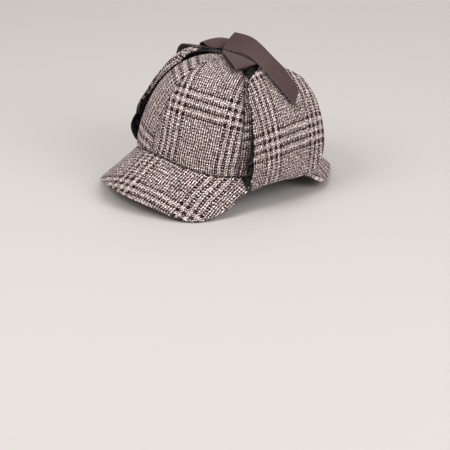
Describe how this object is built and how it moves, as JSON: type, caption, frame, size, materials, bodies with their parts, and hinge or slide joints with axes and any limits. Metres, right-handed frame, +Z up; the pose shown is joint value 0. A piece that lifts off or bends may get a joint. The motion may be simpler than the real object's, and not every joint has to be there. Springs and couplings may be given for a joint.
{
  "type": "deerstalker hat",
  "caption": "Checked tweed deerstalker hat: crown of cloth gores, stiffened peaks front and back, ear flaps folded up and tied over the crown with a ribbon bow.",
  "frame": {"origin": "centre of the hat's bounding box, on the surface it rests on", "axes": "-Y is the way the wearer faces, +X the wearer's left, +Z up; the hat rests tipped back about 8.6 degrees on the two drooping sides of the front brim and the back edge of the rear brim"},
  "size_m": [0.1958, 0.2596, 0.1502],
  "materials": {
    "checked_tweed": "matte wool twill in a pinkish grey and brown-black glen check",
    "black_fleece": "deep matte pile",
    "brown_ribbon": "fine-ribbed ribbon, dark plum brown, low sheen",
    "black_satin": "glossy satin ribbon"
  },
  "bodies": {
    "root": {"bow_knot": "brown_ribbon", "bow_loop_front": "brown_ribbon", "bow_loop_side": "brown_ribbon", "bow_tail_far": "brown_ribbon", "bow_tail_long": "brown_ribbon", "ear_flap_left": "checked_tweed", "ear_flap_right": "checked_tweed", "flap_lining_left": "black_fleece", "flap_lining_right": "black_fleece", "front_brim": "checked_tweed", "gore_front_left": "checked_tweed", "gore_front_right": "checked_tweed", "gore_rear_left": "checked_tweed", "gore_rear_right": "checked_tweed", "gore_side_left": "checked_tweed", "gore_side_right": "checked_tweed", "rear_brim": "checked_tweed", "ribbon_left": "brown_ribbon", "ribbon_right": "black_satin"}
  },
  "joints": []
}
